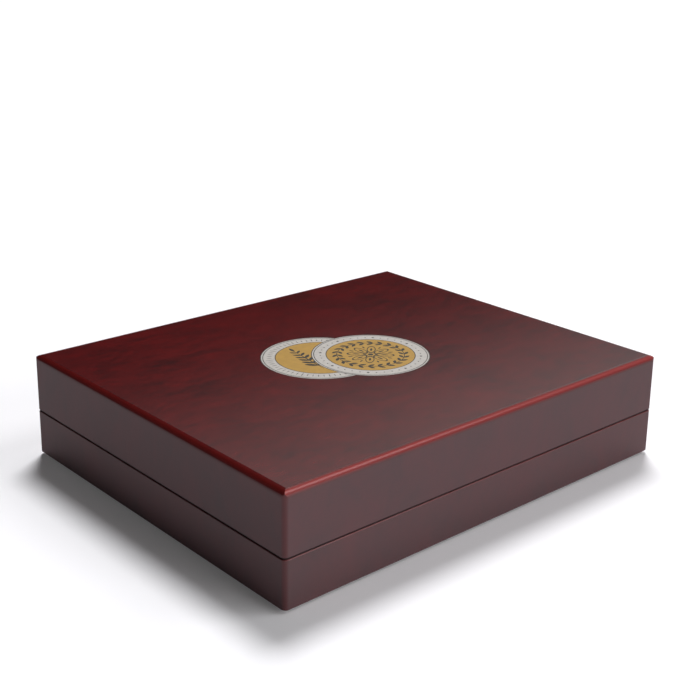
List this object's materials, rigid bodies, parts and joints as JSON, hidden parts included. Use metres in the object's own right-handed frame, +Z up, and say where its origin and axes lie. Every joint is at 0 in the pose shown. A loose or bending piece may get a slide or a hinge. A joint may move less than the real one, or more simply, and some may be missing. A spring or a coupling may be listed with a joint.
{
  "type": "coin case",
  "caption": "Low rectangular wooden case with a hinged lid, a round foil emblem on top and stacked lift-out velvet trays with coin compartments.",
  "frame": {"origin": "middle of the felt underside, on the surface that the case stands on", "axes": "+X along the front to the right, -Y out of the front, +Z up"},
  "size_m": [0.305, 0.2565, 0.068],
  "materials": {
    "lacquered_wood": "red-brown mahogany under satin lacquer",
    "tray_board": "stained board",
    "felt": "dark blue felt",
    "velvet": "navy blue velvet",
    "satin": "ivory satin over thin wadding",
    "card": "plain card",
    "emblem_foil": "flat printed foil, silver rings and gold middles",
    "brass": "polished"
  },
  "bodies": {
    "case_base": {"base_right_wall": "lacquered_wood", "base_back_wall": "lacquered_wood", "base_left_wall": "lacquered_wood", "base_front_wall": "lacquered_wood", "base_bottom_panel": "lacquered_wood", "base_underside_felt": "felt", "base_lining": "felt", "hinge_base_leaves": "brass", "hinge_pins": "brass", "hinge_base_screws": "brass"},
    "lid": {"lid_right_wall": "lacquered_wood", "lid_back_wall": "lacquered_wood", "lid_left_wall": "lacquered_wood", "lid_front_wall": "lacquered_wood", "lid_top_panel": "lacquered_wood", "lid_pad_board": "card", "lid_satin_pad": "satin", "rear_emblem_disc": "emblem_foil", "front_emblem_disc": "emblem_foil", "hinge_lid_leaves": "brass", "hinge_lid_screws": "brass"},
    "bottom_tray": {"bottom_tray_right_rail": "lacquered_wood", "bottom_tray_back_rail": "lacquered_wood", "bottom_tray_left_rail": "lacquered_wood", "bottom_tray_front_rail": "lacquered_wood", "bottom_tray_floor": "tray_board", "bottom_tray_velvet": "velvet", "bottom_tray_long_dividers": "velvet", "bottom_tray_cross_dividers": "velvet"},
    "middle_tray": {"middle_tray_right_rail": "lacquered_wood", "middle_tray_back_rail": "lacquered_wood", "middle_tray_left_rail": "lacquered_wood", "middle_tray_front_rail": "lacquered_wood", "middle_tray_floor": "tray_board", "middle_tray_velvet": "velvet", "middle_tray_long_dividers": "velvet", "middle_tray_cross_dividers": "velvet"},
    "top_tray": {"top_tray_right_rail": "lacquered_wood", "top_tray_back_rail": "lacquered_wood", "top_tray_left_rail": "lacquered_wood", "top_tray_front_rail": "lacquered_wood", "top_tray_floor": "tray_board", "top_tray_velvet": "velvet", "top_tray_long_dividers": "velvet", "top_tray_cross_dividers": "velvet"}
  },
  "joints": [
    {"name": "lid_hinge", "type": "hinge", "parent": "case_base", "child": "lid", "pos_m": [0, 0.126, 0.0305], "axis": [-1, 0, 0], "range_deg": [0, 100]},
    {"name": "bottom_tray_lift", "type": "slide", "parent": "case_base", "child": "bottom_tray", "axis": [0, 0, 1], "range_m": [0, 0.0015]},
    {"name": "middle_tray_lift", "type": "slide", "parent": "bottom_tray", "child": "middle_tray", "axis": [0, 0, 1], "range_m": [0, 0.0015]},
    {"name": "top_tray_lift", "type": "slide", "parent": "middle_tray", "child": "top_tray", "axis": [0, 0, 1], "range_m": [0, 0.0015]}
  ]
}
